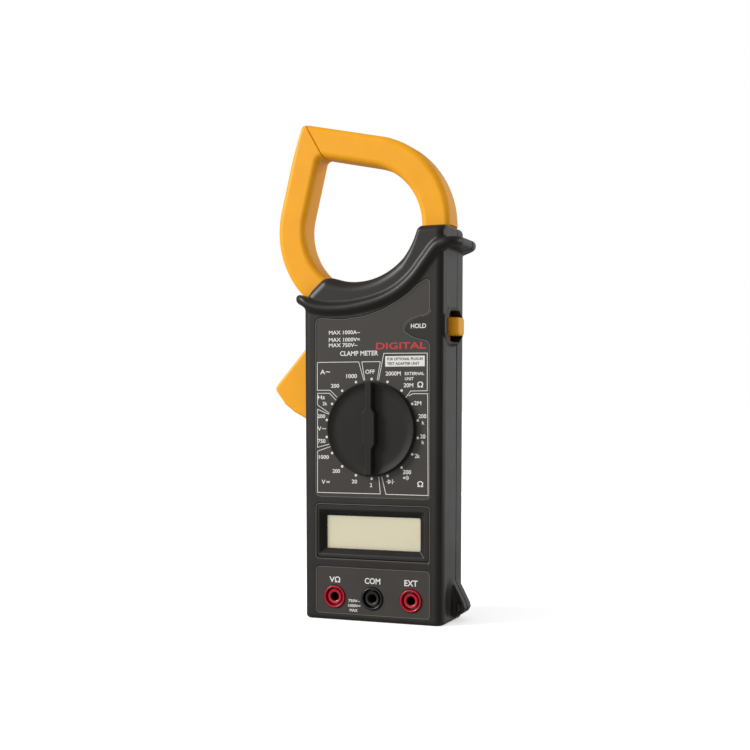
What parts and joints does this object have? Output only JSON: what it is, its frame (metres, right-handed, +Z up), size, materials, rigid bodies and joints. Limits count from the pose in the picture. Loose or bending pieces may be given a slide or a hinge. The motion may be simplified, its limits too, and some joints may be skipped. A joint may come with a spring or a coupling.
{
  "type": "clamp meter",
  "caption": "Handheld clamp meter with a sprung teardrop jaw and trigger lever, rotary range switch, hold button, display and test sockets.",
  "frame": {"origin": "centre of the flat bottom of the case, on the plane it stands on", "axes": "+Z up to the jaw tip, +X to the right seen from the front, +Y from the front face to the back"},
  "size_m": [0.0955, 0.0404, 0.2289],
  "materials": {
    "case_plastic": "fine satin texture",
    "jaw_plastic": "smooth satin",
    "knob_plastic": "fine satin texture",
    "label_film": "printed matt film",
    "display_window": "clear polished",
    "display_glass": "reflective liquid crystal panel",
    "display_frame": "moulded",
    "contact_strip": "layered conductive rubber",
    "board": "solder resist",
    "component_black": "moulded epoxy",
    "trimmer_blue": "moulded",
    "socket_red": "glossy",
    "socket_black": "glossy",
    "contact_brass": "bright",
    "hardware_steel": "zinc plated",
    "core_steel": "laminated electrical steel",
    "winding": "lacquered wire",
    "rotor_plastic": "moulded",
    "battery_case": "printed metal wrap",
    "snap_vinyl": "soft vinyl",
    "lead_red": "insulated wire",
    "lead_black": "insulated wire"
  },
  "bodies": {
    "case": {"front_case": "case_plastic", "rear_case": "case_plastic", "case_screw_1": "hardware_steel", "case_screw_2": "hardware_steel", "case_screw_3": "hardware_steel", "case_screw_4": "hardware_steel", "range_label": "label_film", "jack_label": "label_film", "display_bezel": "label_film", "display_frame": "display_frame", "display_window": "display_window", "display_glass": "display_glass", "display_contact_strip": "contact_strip", "main_board": "board", "meter_chip": "component_black", "buzzer": "component_black", "trimmer": "trimmer_blue", "board_screw_1": "hardware_steel", "board_screw_2": "hardware_steel", "volt_ohm_jack": "socket_red", "volt_ohm_jack_sleeve": "contact_brass", "common_jack": "socket_black", "common_jack_sleeve": "contact_brass", "external_jack": "socket_red", "external_jack_sleeve": "contact_brass", "detent_ball_left": "hardware_steel", "detent_ball_right": "hardware_steel", "detent_spring_left": "hardware_steel", "detent_spring_right": "hardware_steel", "hold_switch": "component_black", "hold_switch_board": "board", "fixed_jaw_front": "jaw_plastic", "fixed_jaw_rear": "jaw_plastic", "fixed_core": "core_steel", "fixed_coil": "winding", "jaw_pivot_pin": "hardware_steel", "jaw_spring": "hardware_steel", "battery_9v": "battery_case", "battery_snap": "snap_vinyl", "battery_lead_red": "lead_red", "battery_lead_black": "lead_black"},
    "moving_jaw": {"moving_jaw_front": "jaw_plastic", "moving_jaw_rear": "jaw_plastic", "moving_core": "core_steel", "moving_coil": "winding"},
    "range_switch": {"range_knob": "knob_plastic", "switch_rotor": "rotor_plastic", "switch_clip": "hardware_steel", "switch_wiper_left": "contact_brass", "switch_wiper_right": "contact_brass"},
    "hold_button": {"hold_button": "jaw_plastic"},
    "battery_cover": {"battery_cover": "case_plastic", "battery_cover_screw": "hardware_steel"}
  },
  "joints": [
    {"name": "jaw_open", "type": "hinge", "parent": "case", "child": "moving_jaw", "pos_m": [-0.0195, 0, 0.1347], "axis": [0, -1, 0], "range_deg": [0, 29], "stiffness_Nm_per_rad": 0.8, "springref_deg": -28.65, "deforming": ["jaw_spring"]},
    {"name": "range_knob_turn", "type": "hinge", "parent": "case", "child": "range_switch", "pos_m": [0, -0.017, 0.0874], "axis": [0, -1, 0], "continuous": true},
    {"name": "hold_button_press", "type": "slide", "parent": "case", "child": "hold_button", "axis": [-1, 0, 0], "range_m": [0, 0.0018], "stiffness_N_per_m": 800, "springref_m": -0.001},
    {"name": "battery_cover_lift", "type": "slide", "parent": "case", "child": "battery_cover", "axis": [0, 1, 0], "range_m": [0, 0.02]}
  ]
}
